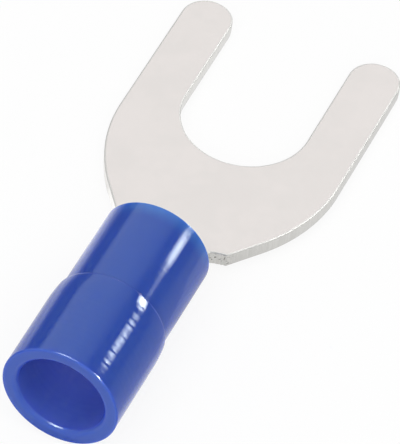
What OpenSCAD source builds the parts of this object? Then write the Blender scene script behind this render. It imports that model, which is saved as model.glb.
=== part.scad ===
// Blue insulated fork terminal for a screw connection.
// Frame: millimetres, real size. The origin is the centre of the slot's round end, on the
// underside of the tongue. +Y points to the tine tips, +X to the right, +Z up through the slot.

/* [Tongue] */
// Width of the slot between the tines, for an M6 screw
slot_w = 6.5; // [5.5:0.1:7]
// Width over both tines
fork_w = 11.75; // [11:0.25:13]
// Thickness of the sheet that the terminal is stamped from
sheet_t = 0.8; // [0.7:0.05:0.9]
// From the slot's centre forward to the ends of the tines
tip_reach = 6.6; // [4.5:0.1:9]
// From the slot's centre back to where the shoulders begin to curve
shoulder_start = 2.1; // [1:0.1:3]
// Radius of the shoulders
shoulder_r = 8.4; // [7.5:0.1:9.5]
// Angle that a shoulder turns through before it runs straight
shoulder_turn = 37.7; // [34:0.1:40]
// Width over the two corners where the shoulders are cut off
corner_w = 5.8; // [5:0.1:6.4]
// How far the cut edge runs back from a corner to the neck
cut_back = 0.2; // [0.1:0.05:0.6]

/* [Neck and barrel] */
// Width of the flat neck behind the cut edges
neck_w = 4.2; // [4:0.05:4.6]
// Length over which the flat neck curls up into the round barrel
neck_l = 2.25; // [1.5:0.05:3.5]
// Inside diameter of the barrel, for a stranded conductor up to 2.5 mm2
barrel_id = 2.3; // [2:0.05:2.4]
// Length of the closed barrel
barrel_l = 5; // [4:0.1:6]
// Height of the barrel's axis above the underside of the tongue
axis_z = 1.85; // [1.7:0.05:1.9]
// Gap left at the butt seam along the top of the barrel
seam_gap = 0.1; // [0.05:0.01:0.2]
// Countersink in the barrel's wire end
barrel_chamfer = 0.25; // [0.1:0.05:0.4]
// Number of grooves round the inside of the barrel that bite into the conductor
grooves = 3; // [1:1:3]
// Width of a groove at the bore
groove_w = 0.5; // [0.4:0.05:0.7]
// Depth of a groove
groove_depth = 0.12; // [0.05:0.01:0.18]
// Distance from one groove to the next
groove_pitch = 1.05; // [0.9:0.05:1.2]

/* [Sleeve] */
// Overall length of the sleeve
sleeve_l = 10.75; // [9:0.05:14]
// How far the sleeve reaches forward over the neck from the closed barrel
sleeve_lead = 0.45; // [0.1:0.05:0.5]
// Outside diameter over the barrel
sleeve_od = 5.5; // [5.2:0.05:5.6]
// Outside diameter over the wire entry
entry_od = 5.9; // [5.8:0.05:6.4]
// Bore of the wire entry, for the wire's insulation
entry_id = 4.5; // [4.3:0.05:4.7]
// From the front of the sleeve back to the crease at its step
step_at = 5.15; // [4.6:0.05:5.6]
// Length of the rounded step between the two outside diameters
step_l = 0.4; // [0.3:0.05:1.5]
// Length of the funnel inside, between the barrel's end and the wire entry
funnel_l = 1; // [0.6:0.1:1.6]
// Space between the barrel's wire end and the funnel
barrel_gap = 0.1; // [0.05:0.05:0.3]
// Rounding of the sleeve's rims
rim_r = 0.05; // [0.05:0.01:0.2]
// Radial clearance between the barrel and the sleeve
sleeve_fit = 0.01; // [0.01:0.01:0.05]

/* [Hidden] */
$fn = 96;

slot_r = slot_w / 2;
half_w = fork_w / 2;
tine_w = half_w - slot_r;
tine_x = slot_r + tine_w / 2;
tip_y = tip_reach - tine_w / 2;

// End of the shoulder's arc, and the corner where its straight part is cut off
arc_x = half_w - shoulder_r * (1 - cos(shoulder_turn));
arc_y = -shoulder_start - shoulder_r * sin(shoulder_turn);
corner_x = corner_w / 2;
corner_y = arc_y - (arc_x - corner_x) / tan(shoulder_turn);
neck_y = corner_y - cut_back;

barrel_r = barrel_id / 2;
barrel_od = barrel_id + 2 * sheet_t;
barrel_y = neck_y - neck_l;
sleeve_y = barrel_y + sleeve_lead;
// How far a cutting shape runs past what it cuts
over = 1;

// The neck is a stack of sheet sections, each an arc of the sheet that is curled further
curl_rows = 12;
curl_cols = 28;
// How far the neck's faces lie under the barrel's faces where it is tucked into the wall
tuck = 0.02;
// Length of the neck that is tucked into the barrel's wall
tuck_l = 0.4;
// Half of the angle that the sheet fills when it is fully curled
full_curl = 176;

// Angle from the bottom of the section to its edge, part u of the way along the neck: it starts gently
function curl(u) = full_curl * u * (1 + u * (3 - 2 * u)) / 2;
// How nearly the section has the barrel's place and width: fully, where it goes into the sleeve
function settled(u) = min(1, u * neck_l / (neck_l - sleeve_lead));
// Half of the sheet's width in plan
function plan_half(u) = neck_w / 2 + (barrel_od / 2 - tuck - neck_w / 2) * settled(u);
// Radius of the outside of the curled sheet
function curl_r(u) = plan_half(u) / sin(min(curl(u), 90));
// Thickness of the sheet along the neck
function wall(u) = sheet_t - 2 * tuck * settled(u);
// Height of the outside of the section's lowest line
function floor_z(u) = (axis_z - barrel_od / 2 + tuck) * settled(u);

// One point of a flat or curled section: a runs from -1 to 1 across it, depth goes into the sheet
function flat_point(a, depth) = [a * neck_w / 2, neck_y, depth];
function curled_point(u, a, depth, y) =
    let (r = curl_r(u), turn = a * curl(u))
    [(r - depth) * sin(turn), y, floor_z(u) + r - (r - depth) * cos(turn)];

// The points round one section: its outside from left to right, then its inside back again
function section(u, y) = concat(
    [for (j = [0 : curl_cols])
        let (a = 2 * j / curl_cols - 1)
        u == 0 ? flat_point(a, 0) : curled_point(u, a, 0, y)],
    [for (j = [0 : curl_cols])
        let (a = 1 - 2 * j / curl_cols)
        u == 0 ? flat_point(a, sheet_t) : curled_point(u, a, wall(u), y)]
);

module tongue_outline() {
    difference() {
        union() {
            for (side = [-1, 1]) {
                translate([side * tine_x, tip_y])
                    circle(d = tine_w);
                translate([side * tine_x - tine_w / 2, -shoulder_start])
                    square([tine_w, tip_y + shoulder_start]);
            }
            translate([-half_w, -shoulder_start])
                square([fork_w, shoulder_start]);
            intersection() {
                translate([half_w - shoulder_r, -shoulder_start])
                    circle(r = shoulder_r);
                translate([shoulder_r - half_w, -shoulder_start])
                    circle(r = shoulder_r);
                translate([-half_w, arc_y])
                    square([fork_w, -shoulder_start - arc_y]);
            }
            polygon([
                [arc_x, arc_y],
                [corner_x, corner_y],
                [neck_w / 2, neck_y],
                [-neck_w / 2, neck_y],
                [-corner_x, corner_y],
                [-arc_x, arc_y]
            ]);
        }
        circle(d = slot_w);
        translate([-slot_r, 0])
            square([slot_w, tip_reach + over]);
    }
}

// The sheet between the flat tongue and the closed barrel
module neck() {
    ring = 2 * (curl_cols + 1);
    rows = curl_rows + 2;
    points = concat(
        [for (i = [0 : curl_rows])
            let (u = i / curl_rows)
            each section(u, neck_y - u * neck_l)],
        section(1, barrel_y - tuck_l)
    );
    sides = [for (i = [0 : rows - 2])
        for (j = [0 : ring - 1])
            let (a = i * ring + j, b = i * ring + (j + 1) % ring)
            each [[a, a + ring, b], [b, a + ring, b + ring]]];
    front = [for (j = [0 : curl_cols - 1])
        let (a = j, b = ring - 1 - j)
        each [[a, a + 1, b], [a + 1, b - 1, b]]];
    last = (rows - 1) * ring;
    back = [for (j = [0 : curl_cols - 1])
        let (a = last + j, b = last + ring - 1 - j)
        each [[a, b, a + 1], [a + 1, b, b - 1]]];
    polyhedron(points, concat(sides, front, back));
}

// One groove in the barrel's profile, at a distance from the barrel's front
function groove(at) = [
    [barrel_r, at + groove_w / 2],
    [barrel_r + groove_depth, at + groove_w / 2 - groove_depth],
    [barrel_r + groove_depth, at - groove_w / 2 + groove_depth],
    [barrel_r, at - groove_w / 2]
];

// Closed tube with a butt seam on top, a countersunk wire end and grooves inside
module barrel() {
    first_groove = barrel_l / 2 + groove_pitch * (grooves - 1) / 2;
    profile = concat(
        [
            [barrel_r, 0],
            [barrel_od / 2, 0],
            [barrel_od / 2, barrel_l],
            [barrel_r + barrel_chamfer, barrel_l],
            [barrel_r, barrel_l - barrel_chamfer]
        ],
        [for (i = [0 : grooves - 1]) each groove(first_groove - i * groove_pitch)]
    );
    translate([0, barrel_y, axis_z])
        rotate([90, 0, 0])
            difference() {
                rotate_extrude()
                    polygon(profile);
                translate([-seam_gap / 2, 0, -over])
                    cube([seam_gap, barrel_od, barrel_l + 2 * over]);
            }
}

// Stamped and rolled metal: fork, neck and barrel in one piece
module fork_terminal() {
    color([0.78, 0.76, 0.74])
        union() {
            linear_extrude(sheet_t)
                tongue_outline();
            neck();
            barrel();
        }
}

// Points on a circle from one angle to another
function arc(centre, r, from, to, steps) =
    [for (i = [0 : steps])
        let (a = from + (to - from) * i / steps)
        centre + r * [cos(a), sin(a)]];

// Plastic tube: its bore grips the barrel, and its wider back end takes the wire's insulation
module insulating_sleeve() {
    grip_r = barrel_od / 2 + sleeve_fit;
    grip_l = sleeve_lead + barrel_l + barrel_gap;
    entry_r = entry_id / 2;
    narrow_r = sleeve_od / 2;
    wide_r = entry_od / 2;
    rise = wide_r - narrow_r;
    step_r = (rise * rise + step_l * step_l) / (2 * rise);
    step_turn = 2 * atan(rise / step_l);
    step_end = step_at + step_l;
    profile = concat(
        arc([grip_r + rim_r, rim_r], rim_r, 180, 270, 4),
        arc([narrow_r - rim_r, rim_r], rim_r, 270, 360, 4),
        arc([wide_r - step_r, step_end], step_r, -step_turn, 0, 10),
        arc([wide_r - rim_r, sleeve_l - rim_r], rim_r, 0, 90, 4),
        arc([entry_r + rim_r, sleeve_l - rim_r], rim_r, 90, 180, 4),
        [[entry_r, grip_l + funnel_l], [grip_r, grip_l]]
    );
    color([0.10, 0.16, 0.50])
        translate([0, sleeve_y, axis_z])
            rotate([90, 0, 0])
                rotate_extrude()
                    polygon(profile);
}

fork_terminal();
insulating_sleeve();
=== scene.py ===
# %% [markdown]
# # A blue insulated fork terminal
# A fork terminal is crimped on a wire and slipped under a screw. It has two pieces: a tinned copper
# stamping, which is flat at the fork and rolled into a tube at the back, and a blue plastic sleeve
# that is pressed over the tube. This lesson builds both in the frame of the CAD model, so that each
# visual piece stands exactly where its CAD node stands.

import math
from collections import namedtuple

import bmesh
import bpy
import numpy as np
from mathutils import Matrix, Vector


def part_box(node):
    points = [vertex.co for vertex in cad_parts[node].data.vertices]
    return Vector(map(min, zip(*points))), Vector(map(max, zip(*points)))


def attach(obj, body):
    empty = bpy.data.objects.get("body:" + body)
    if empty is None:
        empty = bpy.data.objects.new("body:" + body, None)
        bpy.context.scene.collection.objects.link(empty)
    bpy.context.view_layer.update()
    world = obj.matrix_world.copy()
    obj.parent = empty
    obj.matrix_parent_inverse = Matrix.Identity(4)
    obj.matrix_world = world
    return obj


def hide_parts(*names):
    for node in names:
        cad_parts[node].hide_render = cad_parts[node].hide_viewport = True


MM = 0.001
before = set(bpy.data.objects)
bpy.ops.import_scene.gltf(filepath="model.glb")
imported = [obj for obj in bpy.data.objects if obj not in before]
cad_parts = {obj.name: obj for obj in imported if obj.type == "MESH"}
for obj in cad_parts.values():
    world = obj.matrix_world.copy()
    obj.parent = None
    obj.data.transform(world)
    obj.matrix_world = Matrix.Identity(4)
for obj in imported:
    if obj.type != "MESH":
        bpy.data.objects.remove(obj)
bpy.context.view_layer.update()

# %% [markdown]
# ## Sizes
# The drawing is in millimetres, with its origin at the centre of the slot's round end. The fork points
# along +Y and the wire leaves along -Y. The sizes are those of the CAD model, and the few that only
# the finish needs, such as the rounding left by the punch, are added where they are first used.

# %% Sizes of the stamping
SLOT_RADIUS = 3.25
FORK_HALF = 5.875
SHEET = 0.8
TIP_REACH = 6.6
SHOULDER_START = -2.1
SHOULDER_RADIUS = 8.4
SHOULDER_TURN = math.radians(37.7)
CORNER_HALF = 2.9
CUT_BACK = 0.2
NECK_HALF = 2.1
NECK_LENGTH = 2.25
BARREL_INSIDE = 1.15
BARREL_OUTSIDE = BARREL_INSIDE + SHEET
BARREL_LENGTH = 5.0
AXIS_HEIGHT = 1.85
SLEEVE_LEAD = 0.45

arc_end_x = FORK_HALF - SHOULDER_RADIUS * (1 - math.cos(SHOULDER_TURN))
arc_end_y = SHOULDER_START - SHOULDER_RADIUS * math.sin(SHOULDER_TURN)
corner_y = arc_end_y - (arc_end_x - CORNER_HALF) / math.tan(SHOULDER_TURN)
neck_y = corner_y - CUT_BACK
barrel_y = neck_y - NECK_LENGTH
rear_y = barrel_y - BARREL_LENGTH
sleeve_y = barrel_y + SLEEVE_LEAD
print("neck, barrel and rear of the stamping at y:", [round(y, 3) for y in (neck_y, barrel_y, rear_y)])

# %% [markdown]
# ## Camera
# The photograph is taken with a long lens from behind and above, a little to the right, and the camera
# is slightly rolled. The angles, the distance and the point looked at come from fitting the edges of
# the drawing to the edges in the photograph.

# %% Camera
AZIMUTH = math.radians(19.461)
ELEVATION = math.radians(46.996)
ROLL = math.radians(6.704)
DISTANCE = 248.059
LOOK_AT = Vector((0.855, -7.453, SHEET))
LENS = 418.54
SENSOR_WIDTH = 36.0
NEAREST_SEEN = 10.0
FARTHEST_SEEN = 10000.0


def add_object(name, data):
    """Puts a mesh, a camera or a lamp in the scene."""
    added = bpy.data.objects.new(name, data)
    bpy.context.collection.objects.link(added)
    return added


camera_data = bpy.data.cameras.new("photo_camera")
camera_data.lens = LENS
camera_data.sensor_width = SENSOR_WIDTH
camera_data.clip_start = NEAREST_SEEN * MM
camera_data.clip_end = FARTHEST_SEEN * MM
camera = add_object("photo_camera", camera_data)
bpy.context.scene.camera = camera

back = Vector(
    (
        math.sin(AZIMUTH) * math.cos(ELEVATION),
        -math.cos(AZIMUTH) * math.cos(ELEVATION),
        math.sin(ELEVATION),
    )
)
right = Vector((math.cos(AZIMUTH), math.sin(AZIMUTH), 0))
up = back.cross(right)
rolled_right = math.cos(ROLL) * right + math.sin(ROLL) * up
rolled_up = math.cos(ROLL) * up - math.sin(ROLL) * right
camera_turn = Matrix((rolled_right, rolled_up, back)).transposed()
camera.matrix_world = Matrix.Translation((LOOK_AT + DISTANCE * back) * MM) @ camera_turn.to_4x4()
print("camera at", [round(v, 4) for v in camera.location])

# %% [markdown]
# ## Node maths
# Materials and the rolling rule are both written as node trees. A small class holds one socket, and
# Python's operators between such sockets and numbers add the Math nodes, so that a formula reads as
# a formula. Every other node is made by one method.

# %% A socket that does maths
# The places of the colour sockets on a Mix node, which has sockets for other kinds of data before them
MIX_FIRST = 6
MIX_SECOND = 7
MIX_RESULT = 2


class Field:
    """One socket of a node tree. Without a socket it stands for the tree alone."""

    def __init__(self, tree, socket=None):
        self.tree = tree
        self.socket = socket

    def make(self, kind, inputs=None, output=0, **settings):
        """Adds a node of any kind and gives back one of its outputs."""
        node = self.tree.nodes.new(kind)
        for name, value in settings.items():
            setattr(node, name, value)
        for name, value in (inputs or {}).items():
            self.feed(node.inputs[name], value)
        return Field(self.tree, node.outputs[output]) if node.outputs else node

    def feed(self, socket, value):
        """Links a field to a socket, or sets the socket's own value."""
        if isinstance(value, Field):
            self.tree.links.new(value.socket, socket)
        else:
            socket.default_value = value

    def math(self, operation, *others):
        """Adds a Math node with this field as its first value."""
        return self.make("ShaderNodeMath", dict(enumerate((self, *others))), operation=operation)

    def __add__(self, other):
        return self.math("ADD", other)

    def __radd__(self, other):
        return self.math("ADD", other)

    def __sub__(self, other):
        return self.math("SUBTRACT", other)

    def __rsub__(self, other):
        return self.make("ShaderNodeMath", {0: other, 1: self}, operation="SUBTRACT")

    def __mul__(self, other):
        return self.math("MULTIPLY", other)

    def __rmul__(self, other):
        return self.math("MULTIPLY", other)

    def __truediv__(self, other):
        return self.math("DIVIDE", other)

    def __pow__(self, other):
        return self.math("POWER", other)

    def ramp(self, low, high):
        """0 below low, 1 above high, and smooth between them."""
        return self.make(
            "ShaderNodeMapRange",
            {"Value": self, "From Min": low, "From Max": high},
            interpolation_type="SMOOTHSTEP",
        )

    def parts(self):
        """The three parts of a vector."""
        node = self.tree.nodes.new("ShaderNodeSeparateXYZ")
        self.feed(node.inputs[0], self)
        return [Field(self.tree, part) for part in node.outputs]

    def blend(self, first, second):
        """A colour that goes from the first to the second as this value goes from 0 to 1."""
        return self.make(
            "ShaderNodeMix",
            {"Factor": self, MIX_FIRST: first, MIX_SECOND: second},
            output=MIX_RESULT,
            data_type="RGBA",
        )


def sine(angle):
    """The sine of a field or a number."""
    return angle.math("SINE") if isinstance(angle, Field) else math.sin(angle)


def least(value, limit):
    """A field or a number that goes no higher than the limit."""
    return value.math("MINIMUM", limit) if isinstance(value, Field) else min(value, limit)


def most(value, limit):
    """A field or a number that goes no lower than the limit."""
    return value.math("MAXIMUM", limit) if isinstance(value, Field) else max(value, limit)


# %% [markdown]
# ## Materials
# A finish that varies can be painted or worked out. Here it is worked out, from noise in the object's
# own coordinates in millimetres, so that it stays with the piece and needs no picture. Each kind of
# noise has a name and a few numbers: how fine it is, how much detail it has, and how rough that is.

# %% Tools for a material
Texture = namedtuple("Texture", "scale detail roughness", defaults=(2.0, 0.5))


def empty_tree(owner):
    """Gives a material or a world an empty node tree."""
    owner.use_nodes = True
    owner.node_tree.nodes.clear()
    return Field(owner.node_tree)


def new_material(name):
    """An empty material, its tree, and the object's coordinates in millimetres."""
    material = bpy.data.materials.new(name)
    tree = empty_tree(material)
    place = tree.make("ShaderNodeTexCoord", output="Object")
    in_mm = tree.make("ShaderNodeMapping", {"Vector": place, "Scale": (1 / MM, 1 / MM, 1 / MM)})
    return material, tree, in_mm


def stretched(vector, scale):
    """Coordinates that are stretched along each axis before a texture reads them."""
    return vector.make("ShaderNodeMapping", {"Vector": vector, "Scale": scale})


def noise(vector, texture):
    """Noise of this texture, about 0.5 on average."""
    inputs = {"Vector": vector, "Scale": texture.scale}
    inputs.update({"Detail": texture.detail, "Roughness": texture.roughness})
    return vector.make("ShaderNodeTexNoise", inputs)


def bump(height, strength, relief):
    """Normals for a pattern of heights. At full strength a height of 1 is this relief in millimetres."""
    return height.make("ShaderNodeBump", {"Height": height, "Strength": strength, "Distance": relief * MM})


# %% [markdown]
# The stamping is copper with a coat of tin, which is nearly white, satin and slightly uneven. Where
# the punch sheared it the wall is streaked from top to bottom, and where the part was broken from its
# strip the edge is torn and holds dark specks. The edge that the punch drew down is duller, and its
# colour is darkened as painted shade along the rounded edges. Three marks that are stored on the mesh
# say where the wall, the drawn edge and the torn edge are, so one material does for the whole piece.

# %% Tinned sheet
TIN = (0.795, 0.755, 0.735, 1)
TIN_SHADE = (0.770, 0.735, 0.715, 1)
SHEARED = (0.86, 0.85, 0.82, 1)
SHEARED_SHADE = (0.80, 0.79, 0.76, 1)
TORN = (0.25, 0.24, 0.22, 1)
ROLLED_EDGE_SHADE = (0.65, 0.645, 0.625, 1)
CLOUD = Texture(0.55, detail=3.0)
GRAIN = Texture(22.0, detail=3.0, roughness=0.6)
STREAK = Texture(1.0, detail=3.0, roughness=0.6)
SPECK = Texture(9.0, roughness=0.6)
STREAK_STRETCH = (9.0, 9.0, 0.7)
SOFT_RANGE = (0.35, 0.65)
SPECK_RANGE = (0.58, 0.66)
MIDDLE = 0.5
TIN_ROUGH = 0.19
CLOUD_ROUGH = 0.04
WALL_ROUGH = 0.03
ROLLED_ROUGH = 0.3
GRAIN_ROUGH = 0.05
GRAIN_HEIGHT = 0.5
SHEET_BUMP = 0.35
SHEET_RELIEF = 0.012
MARKS = ("wall", "torn", "rolled")

tinned_sheet, tin, tin_mm = new_material("tinned_sheet")
cloud = noise(tin_mm, CLOUD).ramp(*SOFT_RANGE)
grain = noise(tin_mm, GRAIN)
streaks = noise(stretched(tin_mm, STREAK_STRETCH), STREAK)
wall, torn, rolled = [tin.make("ShaderNodeAttribute", output="Fac", attribute_name=mark) for mark in MARKS]
specks = noise(tin_mm, SPECK).ramp(*SPECK_RANGE) * torn

# The drawn edge takes a darker colour: painted shade along the rounded edges.
face_colour = rolled.blend(cloud.blend(TIN, TIN_SHADE), ROLLED_EDGE_SHADE)
wall_colour = streaks.ramp(*SOFT_RANGE).blend(SHEARED, SHEARED_SHADE)
sheet_colour = specks.blend(wall.blend(face_colour, wall_colour), TORN)
sheet_rough = TIN_ROUGH + CLOUD_ROUGH * cloud + WALL_ROUGH * wall + ROLLED_ROUGH * rolled
sheet_rough = sheet_rough + GRAIN_ROUGH * (grain - MIDDLE)
sheet_height = (GRAIN_HEIGHT * grain + wall * streaks) * (1.0 - rolled)

tin_shader = tin.make(
    "ShaderNodeBsdfPrincipled",
    {
        "Base Color": sheet_colour,
        "Metallic": 1.0,
        "Roughness": sheet_rough,
        "Normal": bump(sheet_height, SHEET_BUMP, SHEET_RELIEF),
    },
)
tin.make("ShaderNodeOutputMaterial", {"Surface": tin_shader})
print("tinned sheet:", len(tinned_sheet.node_tree.nodes), "nodes")

# %% [markdown]
# The sleeve is moulded in a glossy blue plastic that lets a little light in, and that light is painted
# into its colour: a lighter blue where it is thin, at the front rim, a stronger blue as painted light
# where it turns away from the camera, and a more violet blue inside the wire entry, where light comes
# through the wall, painted lighter still on the side of the entry that lies in shade. A faint glow that
# grows with depth stands for that light. Rays that are followed through the plastic would give it too,
# but take far longer.

# %% Colours of the blue plastic
BLUE = (0.038, 0.087, 0.395, 1)
BLUE_LIT_THROUGH = (0.056, 0.162, 0.485, 1)
EDGE_BLUE_PAINTED_LIGHT = (0.038, 0.087, 0.50, 1)
BORE_BLUE = (0.068, 0.115, 0.450, 1)
BORE_BLUE_PAINTED_LIGHT = (0.110, 0.160, 0.600, 1)
BORE_GLOW = (0.017, 0.023, 0.108, 1)
NO_GLOW = (0, 0, 0, 1)
SLEEVE_LENGTH = 10.75
ENTRY = 2.2
ENTRY_RIM = 0.28
THIN_FRONT = (sleeve_y - 0.95, sleeve_y + 0.05)
BORE_EDGE = (ENTRY, ENTRY + 0.2 * ENTRY_RIM)
BORE_END = (5.0, 6.0)
GLOW_DEPTH = (0.8, 3.6)
SHADE_ACROSS = 0.6
SHADE_UP = 0.8
SHADE_RANGE = (-0.7 * ENTRY, 0.7 * ENTRY)
SWIRL = Texture(0.7)
SWIRL_LEAST = 0.5
FACING_BLEND = 0.5
FLANK_RANGE = (0.4, 0.9)

blue_plastic, blue, blue_mm = new_material("blue_plastic")
across, along, height = blue_mm.parts()
above_axis = height - AXIS_HEIGHT
depth = along - (sleeve_y - SLEEVE_LENGTH)
from_axis = (across**2 + above_axis**2) ** 0.5
in_bore = (1.0 - from_axis.ramp(*BORE_EDGE)) * (1.0 - depth.ramp(*BORE_END))
# Painted light inside the wire entry: a violet blue for light through the wall, lighter still on the side
# that lies in shade.
shaded_side = (SHADE_ACROSS * across + SHADE_UP * above_axis).ramp(*SHADE_RANGE)
bore_colour = shaded_side.blend(BORE_BLUE, BORE_BLUE_PAINTED_LIGHT)
bore_glow = (in_bore * depth.ramp(*GLOW_DEPTH)).blend(NO_GLOW, BORE_GLOW)

swirl = noise(blue_mm, SWIRL)
# Painted light: the blue is lighter towards the thin front rim, where light comes through.
thin_front = along.ramp(*THIN_FRONT)
facing = blue.make("ShaderNodeLayerWeight", {"Blend": FACING_BLEND}, output="Facing")
body_colour = least(thin_front * (SWIRL_LEAST + swirl), 1.0).blend(BLUE, BLUE_LIT_THROUGH)
# Painted light: a stronger blue where the surface turns away from the camera.
flank_colour = facing.ramp(*FLANK_RANGE).blend(body_colour, EDGE_BLUE_PAINTED_LIGHT)
plastic_colour = in_bore.blend(flank_colour, bore_colour)
print("the lighter front of the sleeve starts at y:", round(THIN_FRONT[0], 3))

# %% [markdown]
# The mould was turned on a lathe, which left fine rings. They are a few micrometres high, so they are
# drawn as a bump and not as a shape. They show on the wide end and, more weakly, just in front of the
# step, and they break the reflections there. Slow waves and specks of dust make the gloss less perfect.

# %% Gloss of the blue plastic
BLUE_GLOSS = (0.62, 0.85, 1.0, 1)
Rings = namedtuple("Rings", "pitch height shift")
COARSE_RINGS = Rings(pitch=0.41, height=0.8, shift=3.0)
FINE_RINGS = Rings(pitch=0.285, height=0.35, shift=4.0)
Stretch = namedtuple("Stretch", "start full fading end")
WIDE_END = Stretch(-20.9, -20.4, -17.2, -16.9)
NARROW_END = Stretch(-15.9, -15.7, -14.2, -13.4)
NARROW_SHARE = 0.35
UNEVEN = Texture(1.0)
UNEVEN_STRETCH = (0.2, 1.0, 0.2)
WAVE = Texture(1.3)
WAVE_STRETCH = (1.0, 3.0, 1.0)
DUST = Texture(14.0, detail=1.0)
DUST_RANGE = (0.74, 0.78)
PLASTIC_ROUGH = 0.045
SWIRL_ROUGH = 0.03
DUST_ROUGH = 0.1
PLASTIC_BUMP = 1.0
PLASTIC_RELIEF = 0.001
PLASTIC_IOR = 1.59
LIGHT_SPREAD = (0.3, 0.5, 1.0)
LIGHT_DEPTH = 0.8


def within(value, stretch):
    """1 inside a stretch and 0 outside it, with soft ends."""
    return value.ramp(stretch.start, stretch.full) * (1.0 - value.ramp(stretch.fading, stretch.end))


def ring_heights(rings, along, uneven):
    """Heights of turned rings along the sleeve, which are shifted a little by noise."""
    return rings.height * sine(along * (2 * math.pi / rings.pitch) + rings.shift * uneven)


uneven = noise(stretched(blue_mm, UNEVEN_STRETCH), UNEVEN)
waves = noise(stretched(blue_mm, WAVE_STRETCH), WAVE)
dust = noise(blue_mm, DUST).ramp(*DUST_RANGE)
ringed = within(along, WIDE_END) + NARROW_SHARE * within(along, NARROW_END)
turned_rings = ring_heights(COARSE_RINGS, along, uneven) + ring_heights(FINE_RINGS, along, uneven)
plastic_height = turned_rings * ringed + waves + dust

blue_shader = blue.make(
    "ShaderNodeBsdfPrincipled",
    {
        "Base Color": plastic_colour,
        "Emission Color": bore_glow,
        "Emission Strength": 1.0,
        "Roughness": PLASTIC_ROUGH + SWIRL_ROUGH * swirl + DUST_ROUGH * dust,
        "IOR": PLASTIC_IOR,
        "Specular Tint": BLUE_GLOSS,
        "Normal": bump(plastic_height, PLASTIC_BUMP, PLASTIC_RELIEF),
        "Subsurface Weight": 1.0,
        "Subsurface Radius": LIGHT_SPREAD,
        "Subsurface Scale": LIGHT_DEPTH * MM,
    },
)
blue.make("ShaderNodeOutputMaterial", {"Surface": blue_shader})
print("blue plastic:", len(blue_plastic.node_tree.nodes), "nodes")

# %% [markdown]
# ## The rolling rule
# A press makes the terminal from a flat blank: the fork is punched out, and the wings behind it are
# rolled up until their edges meet in a seam on top. The rule says how far the sheet is curled at each
# place along the neck. The same functions work on numbers, to draw the flat blank, and on
# node sockets, to bend it.

# %% How the sheet curls along the neck
RollRule = namedtuple(
    "RollRule", "neck_start neck_length lead neck_half outside axis_height full_turn sheet"
)
roll_sizes = RollRule(
    neck_start=neck_y,
    neck_length=NECK_LENGTH,
    lead=SLEEVE_LEAD,
    neck_half=NECK_HALF,
    outside=BARREL_OUTSIDE,
    axis_height=AXIS_HEIGHT,
    full_turn=math.radians(177.5),
    sheet=SHEET,
)
GENTLE_START = 0.08
FLAT_PART = 0.001


def part_rolled(rule, y):
    """Nearly 0 on the flat tongue, 1 in the closed barrel."""
    return most(least((rule.neck_start - y) / rule.neck_length, 1.0), FLAT_PART)


def half_turn(rule, part):
    """Angle from the bottom of the section to its edge."""
    eased = (1 + GENTLE_START) * part * part / (part + GENTLE_START)
    return rule.full_turn * eased * (1 + eased * (3 - 2 * eased)) / 2


def settled(rule, part):
    """How nearly the section has the barrel's place and width: fully, where it goes into the sleeve."""
    reached = least(part * rule.neck_length / (rule.neck_length - rule.lead), 1.0)
    return reached * reached * (3 - 2 * reached)


def outside_radius(rule, part):
    """Radius of the lower face of the curled sheet."""
    half_width = rule.neck_half + (rule.outside - rule.neck_half) * settled(rule, part)
    return half_width / sine(least(half_turn(rule, part), math.pi / 2))


def flat_half(rule, y):
    """Half of the blank's width before it is rolled, measured in the middle of the sheet."""
    part = part_rolled(rule, y)
    return (outside_radius(rule, part) - rule.sheet / 2) * half_turn(rule, part)


barrel_half = flat_half(roll_sizes, barrel_y)
print("the blank is", round(2 * barrel_half, 2), "mm wide at the barrel before rolling")

# %% [markdown]
# ## The flat blank
# The outline is drawn for the right half, from the bottom of the slot round the tine and the shoulder
# to the middle of the rear edge, and mirrored. The cut edge behind the shoulder is torn a little,
# as it is where the part was broken from its strip. Across the barrel the outline has extra rows, so
# that the grooves which bite the conductor can be pressed in.

# %% Rows across the neck and the barrel
NECK_ROWS = 30
GROOVE_PITCH = 1.05
GROOVE_WIDTH = 0.5
GROOVE_DEPTH = 0.12
PLAIN_STEP = 0.4

barrel_middle = barrel_y - BARREL_LENGTH / 2
groove_centres = [barrel_middle + GROOVE_PITCH * k for k in (1, 0, -1)]
neck_rows = list(np.linspace(neck_y, barrel_y, NECK_ROWS + 1))
barrel_rows = [barrel_y - PLAIN_STEP, barrel_y - 2 * PLAIN_STEP]
barrel_rows += [rear_y + 2 * PLAIN_STEP, rear_y + PLAIN_STEP, rear_y]
for centre in groove_centres:
    for half_width in (GROOVE_WIDTH / 2, GROOVE_WIDTH / 2 - GROOVE_DEPTH):
        barrel_rows += [centre + half_width, centre - half_width]
row_places = neck_rows + sorted(barrel_rows, reverse=True)
print("rows across the neck and the barrel:", len(row_places))


# %% Outline of the blank
def arc(centre, radius, start, stop, steps):
    """Points on a circle from one angle to another, in degrees."""
    angles = np.radians(np.linspace(start, stop, steps + 1))
    return [(centre[0] + radius * math.cos(a), centre[1] + radius * math.sin(a)) for a in angles]


def line(start, stop, steps):
    """Points on a straight line, both ends included."""
    shares = np.linspace(0, 1, steps + 1)
    return [(start[0] + (stop[0] - start[0]) * s, start[1] + (stop[1] - start[1]) * s) for s in shares]


TORN_STEPS = 10
TORN_DEPTH = 0.035
TORN_SEED = 5
HALF_COLUMNS = 36
CORNER_MARGIN = 0.4
SLOT_STEPS = 24
TINE_STEPS = 6
TIP_STEPS = 28
SIDE_STEPS = 8
SHOULDER_STEPS = 20
SLOPE_STEPS = 4

tip_radius = (FORK_HALF - SLOT_RADIUS) / 2
tip_centre = (SLOT_RADIUS + tip_radius, TIP_REACH - tip_radius)
shoulder_centre = (FORK_HALF - SHOULDER_RADIUS, SHOULDER_START)
shoulder_turn = math.degrees(SHOULDER_TURN)
chance = np.random.RandomState(TORN_SEED)
cut_edge = line((CORNER_HALF, corner_y), (NECK_HALF, neck_y), TORN_STEPS)
torn_edge = [(x, y + TORN_DEPTH * chance.rand()) for x, y in cut_edge[1:-1]]

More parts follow.
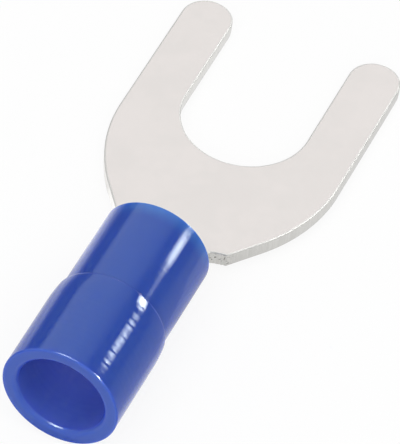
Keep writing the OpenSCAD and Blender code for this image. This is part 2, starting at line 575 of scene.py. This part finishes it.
right_half = arc((0, 0), SLOT_RADIUS, -90, 0, SLOT_STEPS)
right_half += line((SLOT_RADIUS, 0), (SLOT_RADIUS, tip_centre[1]), TINE_STEPS)[1:]
right_half += arc(tip_centre, tip_radius, 180, 0, TIP_STEPS)[1:]
right_half += line((FORK_HALF, tip_centre[1]), (FORK_HALF, SHOULDER_START), SIDE_STEPS)[1:]
right_half += arc(shoulder_centre, SHOULDER_RADIUS, 0, -shoulder_turn, SHOULDER_STEPS)[1:]
right_half += line((arc_end_x, arc_end_y), (CORNER_HALF, corner_y), SLOPE_STEPS)[1:]
first_torn = len(right_half) - 1
right_half += torn_edge
first_row = len(right_half)
right_half += [(flat_half(roll_sizes, y), y) for y in row_places]
rear_corner = len(right_half) - 1
column_shares = [1 - k / HALF_COLUMNS for k in range(HALF_COLUMNS + 1)]
column_places = [(barrel_half - CORNER_MARGIN) * share for share in column_shares]
right_half += [(x, rear_y) for x in column_places]

outline = np.array(right_half + [(-x, y) for x, y in right_half[-2:0:-1]])
count = len(outline)
print("outline of the blank:", count, "points")

# %% [markdown]
# A punched edge isn't square. On the side where the punch enters, the edge is drawn down in a round;
# below it the wall is burnished, then broken and slightly undercut, with a small burr edge at the
# bottom. Each point of the outline gets this profile, as a list of insets and heights. A bevel would
# round both edges alike, so the profile is drawn.

# %% Profile of the punched edge
DIE_ROLL = 0.06
DIE_ROLL_STEPS = 6
COUNTERSINK = 0.24
BREAK = 0.04
BREAK_SHARE = 0.3
UNDERCUT = 0.025
BURNISH_FROM = 0.3
SUPPORT = 0.05
Level = namedtuple("Level", "inset height wall rolled", defaults=(0.0, 0.0))


def sheet_top(y):
    """Height of the upper face: the grooves that bite the conductor are pressed into it."""
    depths = [GROOVE_WIDTH / 2 - abs(y - centre) for centre in groove_centres]
    return SHEET - min(max(0.0, *depths), GROOVE_DEPTH)


def edge_profile(top, roll):
    """Levels from the lower face, up the wall and round to the upper face."""
    levels = [
        Level(UNDERCUT + BREAK + SUPPORT, 0.0),
        Level(UNDERCUT + BREAK, 0.0),
        Level(UNDERCUT + BREAK_SHARE * BREAK, BREAK_SHARE * BREAK, wall=1.0),
        Level(UNDERCUT, BREAK, wall=1.0),
        Level(0.0, BURNISH_FROM, wall=1.0),
        Level(0.0, top - roll, wall=1.0),
    ]
    for step in range(1, DIE_ROLL_STEPS + 1):
        turn = math.pi / 2 * step / DIE_ROLL_STEPS
        levels.append(Level(roll * (1 - math.cos(turn)), top - roll + roll * math.sin(turn), rolled=1.0))
    levels.append(Level(roll + SUPPORT, top))
    return levels


print("levels of the punched edge:", len(edge_profile(SHEET, DIE_ROLL)))

# %% [markdown]
# The profile is carried round the outline. Every point of the outline moves inward along the line that
# halves its corner, and the points of neighbouring profiles are joined by four-sided faces.

# %% Edge of the blank
SheetPoint = namedtuple("SheetPoint", "x y z wall torn rolled", defaults=(0.0, 0.0, 0.0))

ahead = np.roll(outline, -1, axis=0) - outline
ahead /= np.linalg.norm(ahead, axis=1)[:, None]
leaving = np.stack([ahead[:, 1], -ahead[:, 0]], axis=1)
arriving = np.roll(leaving, 1, axis=0)
inward = (leaving + arriving) / (1 + (leaving * arriving).sum(axis=1))[:, None]

sheet_points = []
profiles = []
for i in range(count):
    mirror = min(i, count - i)
    roll = COUNTERSINK if mirror > rear_corner else DIE_ROLL
    is_torn = 1.0 if first_torn <= mirror <= first_row else 0.0
    profile = []
    for level in edge_profile(sheet_top(outline[i][1]), roll):
        x, y = outline[i] + level.inset * inward[i]
        profile.append(len(sheet_points))
        sheet_points.append(SheetPoint(x, y, level.height, level.wall, is_torn * level.wall, level.rolled))
    profiles.append(profile)

faces = []
for i in range(count):
    here = profiles[i]
    after = profiles[(i + 1) % count]
    faces += [(here[k], after[k], after[k + 1], here[k + 1]) for k in range(len(here) - 1)]
print("edge of the blank:", len(faces), "faces")

# %% [markdown]
# The two faces of the sheet are filled next. Behind the neck line they are a regular grid, because
# that part will be bent; in front of it each is one flat face.

# %% Faces of the sheet
right_shares = [x / (barrel_half - DIE_ROLL - SUPPORT) for x in column_places]
shares = [-share for share in right_shares] + right_shares[-2::-1]
for side in (0, -1):
    rows = []
    for row in range(len(row_places) - 1):
        edge = profiles[first_row + row][side]
        edge_point = sheet_points[edge]
        inner = []
        for share in shares:
            inner.append(len(sheet_points))
            sheet_points.append(SheetPoint(edge_point.x * share, edge_point.y, edge_point.z))
        rows.append([profiles[count - first_row - row][side], *inner, edge])
    round_rear = range(count - rear_corner, rear_corner - 1, -1)
    rows.append([profiles[i % count][side] for i in round_rear])
    for front, behind in zip(rows, rows[1:]):
        faces += [(front[k], front[k + 1], behind[k + 1], behind[k]) for k in range(len(front) - 1)]
    round_tongue = range(count - first_row, count + first_row + 1)
    tongue_edge = [profiles[i % count][side] for i in round_tongue]
    faces.append((*tongue_edge, *rows[0][-2:0:-1]))


def mesh_object(name, places, edges, sides):
    """Puts a mesh with these points, edges and faces in the scene."""
    mesh = bpy.data.meshes.new(name)
    mesh.from_pydata(places, edges, sides)
    return add_object(name, mesh)


def face_outward(piece):
    """Turns the faces of a closed mesh outward and prints whether it is closed."""
    work = bmesh.new()
    work.from_mesh(piece.data)
    bmesh.ops.recalc_face_normals(work, faces=work.faces)
    open_edges = sum(not edge.is_manifold for edge in work.edges)
    volume = work.calc_volume(signed=True)
    work.to_mesh(piece.data)
    work.free()
    print(piece.name, "open edges:", open_edges, "signed volume:", volume)


stamping = mesh_object("stamped_fork", [(p.x, p.y, p.z) for p in sheet_points], [], faces)
face_outward(stamping)
for mark in MARKS:
    stored = stamping.data.attributes.new(mark, "FLOAT", "POINT")
    stored.data.foreach_set("value", [getattr(point, mark) for point in sheet_points])

# %% [markdown]
# ## Rolling the blank
# Geometry Nodes can bend a mesh by a formula. A tree is built here with named number inputs, run on a
# piece, and its result is kept as the piece's mesh. Three small functions do this for both pieces.


# %% Tools for a geometry tree
def geometry_tree(name, labels):
    """A tree with one geometry and named number inputs, and a field for each number."""
    tree = bpy.data.node_groups.new(name, "GeometryNodeTree")
    tree.interface.new_socket("Geometry", in_out="INPUT", socket_type="NodeSocketGeometry")
    tree.interface.new_socket("Geometry", in_out="OUTPUT", socket_type="NodeSocketGeometry")
    for label in labels:
        tree.interface.new_socket(label, in_out="INPUT", socket_type="NodeSocketFloat")
    entry = tree.nodes.new("NodeGroupInput")
    fields = {label: Field(tree, entry.outputs[label]) for label in labels}
    return Field(tree), Field(tree, entry.outputs["Geometry"]), fields


def close_tree(shape, material):
    """Ends a tree with real geometry that has its material."""
    real = shape.make("GeometryNodeRealizeInstances", {"Geometry": shape})
    painted = shape.make("GeometryNodeSetMaterial", {"Geometry": real, "Material": material})
    shape.make("NodeGroupOutput", {"Geometry": painted})


def run_tree(piece, tree, values):
    """Runs a tree on a piece with these values and keeps the result as the piece's mesh."""
    modifier = piece.modifiers.new(tree.name, "NODES")
    modifier.node_group = tree
    for item in tree.interface.items_tree:
        if item.in_out == "INPUT" and item.name in values:
            modifier[item.identifier] = values[item.name]
    view_layer = bpy.context.evaluated_depsgraph_get()
    made = bpy.data.meshes.new_from_object(piece.evaluated_get(view_layer), depsgraph=view_layer)
    piece.modifiers.clear()
    piece.data = made
    print(piece.name, "has", len(made.vertices), "points and", len(made.polygons), "faces")


# %% [markdown]
# The tree moves each point of the flat blank to its place in the curled sheet: a distance across the
# blank becomes an angle round the section, and a height in the sheet becomes a shorter radius. The
# tree also turns millimetres into metres, since the drawing is in millimetres.

# %% Roll the blank
SMOOTH_BELOW = math.radians(28)

labels = {field: field.replace("_", " ").capitalize() for field in RollRule._fields}
roll_tree, flat_sheet, numbers = geometry_tree("roll_the_blank", labels.values())
rule = RollRule(**{field: numbers[label] for field, label in labels.items()})
flat_x, flat_y, flat_z = roll_tree.make("GeometryNodeInputPosition").parts()
part = part_rolled(rule, flat_y)
radius = outside_radius(rule, part)
turn = flat_x / (radius - rule.sheet / 2)
reach = radius - flat_z
half_sine = sine(turn / 2)
lift = (rule.axis_height - rule.outside) * settled(rule, part)
curled = roll_tree.make(
    "ShaderNodeCombineXYZ",
    {
        "X": MM * reach * sine(turn),
        "Y": MM * flat_y,
        "Z": MM * (lift + flat_z + 2 * reach * half_sine * half_sine),
    },
)
bent = roll_tree.make("GeometryNodeSetPosition", {"Geometry": flat_sheet, "Position": curled})
close_tree(bent, tinned_sheet)
run_tree(stamping, roll_tree.tree, {labels[field]: value for field, value in roll_sizes._asdict().items()})
stamping.data.shade_smooth()
stamping.data.set_sharp_from_angle(angle=SMOOTH_BELOW)

# %% [markdown]
# ## The sleeve
# The sleeve is round, so it is drawn as half of its lengthwise section and turned round its axis. The
# front part grips the barrel; a rounded step leads to the wider end, which swells a little behind the
# step and takes the wire's insulation. Inside, a funnel guides the strands into the barrel.

# %% Section of the sleeve
NARROW = 2.75
WIDE = 2.95
GRIP = 1.96
STEP_AT = 5.15
STEP_RISE = 0.12
STEP_LENGTH = 0.2
SWELL_RISE = 0.08
SWELL_LENGTH = 1.2
FUNNEL_START = 5.55
FUNNEL_LENGTH = 1.0
RIM = 0.02
REAR_RIM = 0.1
RIM_MARGIN = 0.01
RIM_STEPS = 10
OUTSIDE_STEPS = 8
SWELL_STEPS = 44
ENTRY_STEPS = 6
FUNNEL_STEPS = 3

swell_end = STEP_AT + SWELL_LENGTH
funnel_end = FUNNEL_START + FUNNEL_LENGTH
section = arc((GRIP + RIM, RIM), RIM, 180, 270, RIM_STEPS)
section += arc((NARROW - RIM, RIM), RIM, 270, 360, RIM_STEPS)
section += line((NARROW, RIM + RIM_MARGIN), (NARROW, STEP_AT), OUTSIDE_STEPS)[:-1]
for behind in np.linspace(0, SWELL_LENGTH, SWELL_STEPS + 1):
    step_left = max(0.0, 1 - behind / STEP_LENGTH)
    swell_left = 1 - behind / SWELL_LENGTH
    section.append((WIDE - STEP_RISE * step_left**3 - SWELL_RISE * swell_left**2, STEP_AT + behind))
section += line((WIDE, swell_end), (WIDE, SLEEVE_LENGTH - REAR_RIM - RIM_MARGIN), OUTSIDE_STEPS)[1:]
section += arc((WIDE - REAR_RIM, SLEEVE_LENGTH - REAR_RIM), REAR_RIM, 0, 90, RIM_STEPS)
section += arc((ENTRY + ENTRY_RIM, SLEEVE_LENGTH - ENTRY_RIM), ENTRY_RIM, 90, 180, RIM_STEPS)
section += line((ENTRY, SLEEVE_LENGTH - ENTRY_RIM), (ENTRY, funnel_end), ENTRY_STEPS)[1:]
section += line((ENTRY, funnel_end), (GRIP, FUNNEL_START), FUNNEL_STEPS)[1:]
print("section of the sleeve:", len(section), "points")

# %% [markdown]
# A second tree turns the section: it sweeps it along a circle and lays the result down, with the
# circle's axis along the barrel. The circle has the radius of the bore that grips the barrel, and the
# section's points are measured from there.

# %% Turn the section round the axis
SEGMENTS = 192.0
CREASE_FROM = math.radians(13)

path_radius = GRIP
drawn = [((from_centre - path_radius) * MM, (sleeve_y - behind) * MM, 0) for from_centre, behind in section]
loop = [(k, (k + 1) % len(drawn)) for k in range(len(drawn))]
sleeve = mesh_object("blue_sleeve", drawn, loop, [])

turn_labels = ["Path radius", "Axis height", "Segments"]
turn_tree, section_edges, numbers = geometry_tree("turn_the_section", turn_labels)
section_curve = turn_tree.make("GeometryNodeMeshToCurve", {"Mesh": section_edges})
path = turn_tree.make(
    "GeometryNodeCurvePrimitiveCircle",
    {"Resolution": numbers["Segments"], "Radius": numbers["Path radius"]},
)
turned_wall = turn_tree.make("GeometryNodeCurveToMesh", {"Curve": path, "Profile Curve": section_curve})
raised = turn_tree.make("ShaderNodeCombineXYZ", {"Z": numbers["Axis height"]})
laid = turn_tree.make(
    "GeometryNodeTransform",
    {"Geometry": turned_wall, "Translation": raised, "Rotation": (math.pi / 2, 0, 0)},
)
close_tree(laid, blue_plastic)
turn_sizes = (path_radius * MM, AXIS_HEIGHT * MM, SEGMENTS)
run_tree(sleeve, turn_tree.tree, dict(zip(turn_labels, turn_sizes)))
face_outward(sleeve)
sleeve.data.shade_smooth()
sleeve.data.set_sharp_from_angle(angle=CREASE_FROM)

# %% [markdown]
# ## Joining the frame
# Each piece stands for its CAD node and rides on the one body that the part has.

# %% Give the pieces to the frame
for piece, node, slot in (
    (stamping, "fork_terminal", "tinned_metal"),
    (sleeve, "insulating_sleeve", "blue_plastic"),
):
    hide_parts(node)
    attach(piece, "root")
    low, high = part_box(node)
    print(node, "CAD box in mm:", [round(v / MM, 2) for v in (*low, *high)])

# %% [markdown]
# ## Floor
# The terminal lies on a pale floor, on the tips of its tines and on the sleeve's front edge, so the
# floor is tilted to touch both. The photograph has a white ground with hardly any shadow. The floor
# therefore glows by itself for the most part and only a little of it is paper that takes a shadow.

# %% Floor
TOUCH_INSET = 0.2
FLOOR_HALF = 900.0
FLOOR_GLOW = 0.88
PAPER = (0.86, 0.86, 0.86, 1)
WHITE = (1, 1, 1, 1)

rest_back = Vector((0, sleeve_y - RIM, AXIS_HEIGHT - NARROW))
rest_front = Vector((0, TIP_REACH - TOUCH_INSET, 0))
floor_tilt = math.atan2(rest_front.z - rest_back.z, rest_front.y - rest_back.y)
floor_turn = Matrix.Rotation(floor_tilt, 3, "X")
corners = [floor_turn @ Vector((x, y, 0)) for x, y in ((-1, -1), (1, -1), (1, 1), (-1, 1))]
floor = mesh_object("floor", [(rest_back + FLOOR_HALF * c) * MM for c in corners], [], [(0, 1, 2, 3)])


def seen_directly(tree):
    """1 for rays from the camera, from shiny faces and through clear ones, and 0 for the rest."""
    node = tree.tree.nodes.new("ShaderNodeLightPath")
    kinds = ("Is Camera Ray", "Is Glossy Ray", "Is Transmission Ray")
    camera_ray, glossy_ray, clear_ray = [Field(tree.tree, node.outputs[kind]) for kind in kinds]
    return least(camera_ray + glossy_ray + clear_ray, 1.0)


pale_floor = bpy.data.materials.new("pale_floor")
pale = empty_tree(pale_floor)
paper = pale.make("ShaderNodeBsdfDiffuse", {"Color": PAPER})
glow = pale.make("ShaderNodeEmission", {"Color": WHITE, "Strength": 1.0})
floor_look = pale.make("ShaderNodeMixShader", {0: FLOOR_GLOW * seen_directly(pale), 1: paper, 2: glow})
pale.make("ShaderNodeOutputMaterial", {"Surface": floor_look})
floor.data.materials.append(pale_floor)
print("floor tilt in degrees:", round(math.degrees(floor_tilt), 2))

# %% [markdown]
# ## Surroundings
# The object stands in a white studio. The background is pure white where the camera or a reflection
# sees it, and dimmer as a source of light, so that the plastic keeps its deep colour.

# %% Surroundings
SOFT_LIGHT = 0.62

world = bpy.data.worlds.new("white_studio")
studio = empty_tree(world)
bpy.context.scene.world = world
fill = studio.make("ShaderNodeBackground", {"Color": WHITE, "Strength": SOFT_LIGHT})
white = studio.make("ShaderNodeBackground", {"Color": WHITE, "Strength": 1.0})
studio_look = studio.make("ShaderNodeMixShader", {0: seen_directly(studio), 1: fill, 2: white})
studio.make("ShaderNodeOutputWorld", {"Surface": studio_look})
print("soft light of the studio:", SOFT_LIGHT)

# %% [markdown]
# ## Reflections
# Gloss and metal show what stands around them, and in a photograph that is lamps, screens and the
# table. Each is a strip of mesh here, with its own brightness at every point. Only reflections show
# the strips, so they can stand where they are needed and hide nothing from the camera.


# %% Strips that only reflections show
def lay_strip(name, rows, light=(1.0, 1.0, 1.0), only_for=None):
    """A glowing strip through rows of points. A point is its place in millimetres and its brightness,
    and the brightness changes evenly from point to point."""
    material = bpy.data.materials.new(name)
    strip = empty_tree(material)
    shine = strip.make("ShaderNodeAttribute", output="Color", attribute_name="shine")
    glow = strip.make("ShaderNodeEmission", {"Color": shine, "Strength": 1.0})
    strip.make("ShaderNodeOutputMaterial", {"Surface": glow})
    width = len(rows[0])
    places = [place * MM for row in rows for place, bright in row]
    colours = []
    for row in rows:
        for place, bright in row:
            colours += [*(bright * part for part in light), 1.0]
    quads = []
    for first in range(0, width * (len(rows) - 1), width):
        quads += [(k, k + 1, k + width + 1, k + width) for k in range(first, first + width - 1)]
    piece = mesh_object(name, places, [], quads)
    piece.data.attributes.new("shine", "FLOAT_COLOR", "POINT").data.foreach_set("color", colours)
    piece.data.materials.append(material)
    piece.visible_camera = False
    piece.visible_diffuse = False
    piece.visible_transmission = False
    piece.visible_shadow = False
    if only_for:
        piece.light_linking.receiver_collection = only_for
    print(name, "has", len(quads), "faces")


def round_axis(angle, reach, y):
    """A place at this angle in degrees and this distance from the sleeve's axis."""
    turn = math.radians(angle)
    return Vector((reach * math.cos(turn), y, AXIS_HEIGHT + reach * math.sin(turn)))


# %% [markdown]
# Dark cards to the left and right of the sleeve give the dark bands along it, as black screens do in a
# studio, and a card far in front darkens a little what the rounded edges show. The cards fade towards
# an edge, because the bands in the photograph do. The place of a card's edge is an angle in degrees
# round the sleeve for the two at the sides, and a distance along X for the one in front.

# %% Dark cards
CARD_REACH = 420.0
CARD_ENDS = (180.0, 1300.0)
FRONT_Y = 600.0
FRONT_ENDS = (0.0, 260.0)
CardEdge = namedtuple("CardEdge", "place bright")
LEFT_CARD = [CardEdge(151, 1.0), CardEdge(161, 0.05), CardEdge(180, 0.05)]
RIGHT_CARD = [
    CardEdge(-1, 0.15),
    CardEdge(20, 0.05),
    CardEdge(57, 0.05),
    CardEdge(69, 0.6),
    CardEdge(98, 1.0),
]
FRONT_CARD = [CardEdge(-60.0, 1.0), CardEdge(0.0, 0.2), CardEdge(420.0, 0.2)]

for name, card in (("left_card", LEFT_CARD), ("right_card", RIGHT_CARD)):
    card_rows = []
    for edge in card:
        card_rows.append([(round_axis(edge.place, CARD_REACH, y), edge.bright) for y in CARD_ENDS])
    lay_strip(name, card_rows)
front_rows = []
for edge in FRONT_CARD:
    front_rows.append([(Vector((edge.place, FRONT_Y, z)), edge.bright) for z in FRONT_ENDS])
lay_strip("front_card", front_rows)

# %% [markdown]
# The walls of the stamping and the flanks of the sleeve reflect the table. Cloths just above the floor,
# which only reflections show, make it darker far to the sides and brighter beside the left shoulder,
# and a dark sheet below the sleeve is a painted shadow, where little light gets in. Each row across a
# cloth lists places along X with their brightness.

# %% Cloths on the floor
CLOTH_GAP = 0.2
UNDER_GAP = 0.05
FAR_SIDE = 425
UNDER_PLACES = (-3, -2, 1, 2)
ClothRow = namedtuple("ClothRow", "y points")


def over_floor(x, y, gap):
    """A place just above the floor."""
    rise = math.tan(floor_tilt)
    return Vector((x, y, rest_back.z + (y - rest_back.y) * rise + gap))


def under_points(left, middle, right):
    """A row below the sleeve: its left edge, its middle and its right edge."""
    return list(zip(UNDER_PLACES, (left, middle, middle, right)))


left_dark = [(-FAR_SIDE, 0.05), (-60, 0.05)]
left_behind = [*left_dark, (-26, 0.24), (-7, 0.8), (-3, 0.8)]
left_bright = [*left_dark, (-26, 0.35), (-7, 1.15), (-3, 1.15)]
left_shoulder = [*left_dark, (-26, 0.35), (-7, 1.15), (-3, 0.7)]
left_tine = [*left_dark, (-26, 0.24), (-7, 0.8), (-2.2, 0.85)]
left_cloth = [
    ClothRow(-300, left_behind),
    ClothRow(-11.5, left_behind),
    ClothRow(-9.5, left_bright),
    ClothRow(-7.2, left_bright),
    ClothRow(-6.2, left_shoulder),
    ClothRow(-3.5, left_shoulder),
    ClothRow(-2.5, left_tine),
    ClothRow(600, left_tine),
]
right_behind = [(2, 1.0), (4.4, 0.8), (5, 0.58), (40, 0.4), (FAR_SIDE, 0.12)]
right_dark = [(40, 0.35), (FAR_SIDE, 0.12)]
right_cloth = [
    ClothRow(-60, right_behind),
    ClothRow(-14, right_behind),
    ClothRow(-12.4, [(2, 0.65), (4.8, 0.68), (5.2, 0.52), *right_dark]),
    ClothRow(-9.5, [(2, 0.62), (6.6, 0.75), (7.1, 0.5), *right_dark]),
    ClothRow(-6, [(2, 0.62), (9.6, 0.85), (10.1, 0.5), *right_dark]),
    ClothRow(600, [(2, 0.62), (10.7, 0.85), (11.3, 0.5), *right_dark]),
]
# Painted shadow: a dark sheet below the sleeve, seen only in reflections.
shadow_under_sleeve = [
    ClothRow(-60, under_points(0.9, 0.9, 0.9)),
    ClothRow(-30, under_points(0.8, 0.8, 0.8)),
    ClothRow(-22.6, under_points(0.75, 0.75, 0.75)),
    ClothRow(-21.9, under_points(0.75, 0.25, 0.8)),
    ClothRow(-10.9, under_points(0.75, 0.25, 0.8)),
]
for name, cloth, gap in (
    ("left_cloth", left_cloth, CLOTH_GAP),
    ("right_cloth", right_cloth, CLOTH_GAP),
    ("shadow_under_sleeve", shadow_under_sleeve, UNDER_GAP),
):
    lay_strip(name, [[(over_floor(x, row.y, gap), bright) for x, bright in row.points] for row in cloth])

# %% [markdown]
# The thin bright streak along the sleeve is the picture of a long narrow lamp, and it has breaks where
# the lamp is dark. A second, short lamp gives the spark where the streak meets the rear rim. A third,
# above and behind the part, lights the top of that rim and the bottom of the wire entry; it is given
# by directions from there. The three light the sleeve alone, because the photograph shows no such
# spots on the metal.

# %% Lamp strips
LAMP_REACH = 40.0
LAMP_LIGHT = (35.5, 31.0, 27.5)
LAMP_EDGE = 0.1
LampRow = namedtuple("LampRow", "y angle half_width bright")
STREAK_LAMP = [
    LampRow(8.3, 35, 9, 0.0),
    LampRow(8.7, 35, 9, 0.3),
    LampRow(9.6, 35, 9, 0.5),
    LampRow(12.2, 35, 9, 0.24),
    LampRow(12.7, 35, 8, 0.18),
    LampRow(13.2, 35, 7, 0.03),
    LampRow(14.4, 33, 6, 0.02),
    LampRow(14.8, 33, 6, 0.08),
    LampRow(17.0, 34, 6, 0.08),
    LampRow(17.3, 35, 9, 0.42),
    LampRow(17.6, 35, 10, 0.56),
    LampRow(19.7, 35, 10, 0.56),
    LampRow(19.9, 35, 10, 0.0),
    LampRow(20.9, 35, 10, 0.0),
    LampRow(21.1, 36, 12, 1.0),
    LampRow(25, 36, 12, 1.2),
    LampRow(30, 36, 12, 1.0),
    LampRow(45, 34, 15, 0.35),
    LampRow(70, 33, 15, 0.25),
    LampRow(100, 33, 12, 0.1),
]
RIM_LAMP = [
    LampRow(-1, 36, 10, 0.0),
    LampRow(-2.5, 36, 10, 8.0),
    LampRow(-9, 36, 10, 8.0),
    LampRow(-10.5, 36, 10, 0.0),
]
BACK_REACH = 200.0
BACK_LAMP = [(-0.5, 0.1), (-0.16, 0.55), (0.18, 0.1)]
BACK_SWEEP = [(-0.62, 0.77), (-0.32, 0.94), (0.0, 0.99)]


def lamp_points(row):
    """The points across a lamp strip, which is brightest along its middle."""
    sides = ((-row.half_width, LAMP_EDGE), (0, 1.0), (row.half_width, LAMP_EDGE))
    return [(round_axis(row.angle + side, LAMP_REACH, row.y), share * row.bright) for side, share in sides]


sleeve_only = bpy.data.collections.new("sleeve_only")
sleeve_only.objects.link(sleeve)
for name, lamp in (("streak_lamp", STREAK_LAMP), ("rim_lamp", RIM_LAMP)):
    lay_strip(name, [lamp_points(row) for row in lamp], LAMP_LIGHT, sleeve_only)

rear_rim = Vector((0, sleeve_y - SLEEVE_LENGTH, AXIS_HEIGHT - ENTRY))
back_rows = []
for y, z in BACK_SWEEP:
    back_rows.append([(rear_rim + BACK_REACH * Vector((x, y, z)), bright) for x, bright in BACK_LAMP])
lay_strip("back_lamp", back_rows, LAMP_LIGHT, sleeve_only)

# %% [markdown]
# ## Soft lamps
# A large lamp behind the camera lights the plastic evenly; reflections don't show it. A smaller one, in
# front on the right, gives the bright line along the rounded edges of the tongue. It lights the metal
# alone, so that the sleeve shows no second streak.

# %% Soft lamps
SoftLamp = namedtuple("SoftLamp", "name brightness size place")
TOP_LAMP = SoftLamp("top_lamp", 2.4, 500.0, Vector((60.0, -310.0, 390.0)))
EDGE_LAMP = SoftLamp("edge_lamp", 3.6, 160.0, Vector((104.0, 84.0, 106.0)))


def hang_lamp(lamp):
    """A square lamp that looks at the part. Its brightness is that of its face, as the background's is."""
    data = bpy.data.lights.new(lamp.name, "AREA")
    data.shape = "SQUARE"
    data.size = lamp.size * MM
    data.energy = lamp.brightness * math.pi * data.size**2
    hung = add_object(lamp.name, data)
    hung.location = lamp.place * MM
    hung.rotation_euler = lamp.place.to_track_quat("Z", "Y").to_euler()
    print(lamp.name, "has", round(data.energy, 3), "W")
    return hung


top_lamp = hang_lamp(TOP_LAMP)
top_lamp.visible_glossy = False
edge_lamp = hang_lamp(EDGE_LAMP)
metal_only = bpy.data.collections.new("metal_only")
metal_only.objects.link(stamping)
edge_lamp.light_linking.receiver_collection = metal_only

# %% [markdown]
# ## Colour of the picture
# The picture is made with the standard view transform.

# %% Finish
bpy.context.scene.view_settings.view_transform = "Standard"
